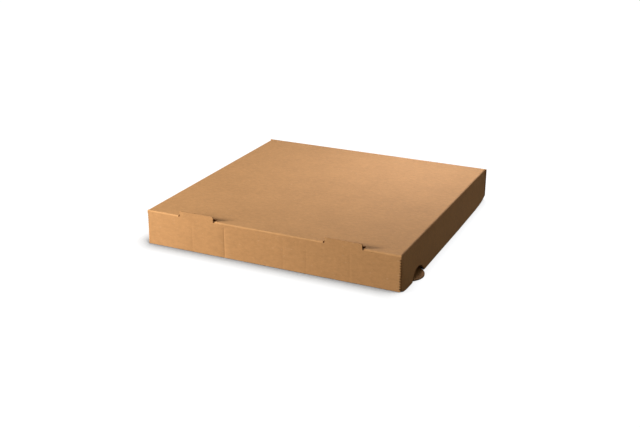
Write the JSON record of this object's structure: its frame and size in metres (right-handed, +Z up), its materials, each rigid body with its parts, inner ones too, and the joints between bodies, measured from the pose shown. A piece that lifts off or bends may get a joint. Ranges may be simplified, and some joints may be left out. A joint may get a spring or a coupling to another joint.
{
  "type": "pizza box",
  "caption": "Square flat box of thin corrugated kraft board, with a lid hinged along the rear edge that closes over the tray.",
  "frame": {"origin": "centre of the closed box on the surface it stands on", "axes": "+Z up, front flap with its two raised tongues towards -Y, hinge crease along X at the rear"},
  "size_m": [0.377, 0.3556, 0.0538],
  "materials": {
    "kraft_board": "matte"
  },
  "bodies": {
    "tray": {"base_tray": "kraft_board"},
    "lid": {"lid": "kraft_board"}
  },
  "joints": [
    {"name": "lid_hinge", "type": "hinge", "parent": "tray", "child": "lid", "pos_m": [0, 0.177, 0.0468], "axis": [-1, 0, 0], "range_deg": [0, 180]}
  ]
}
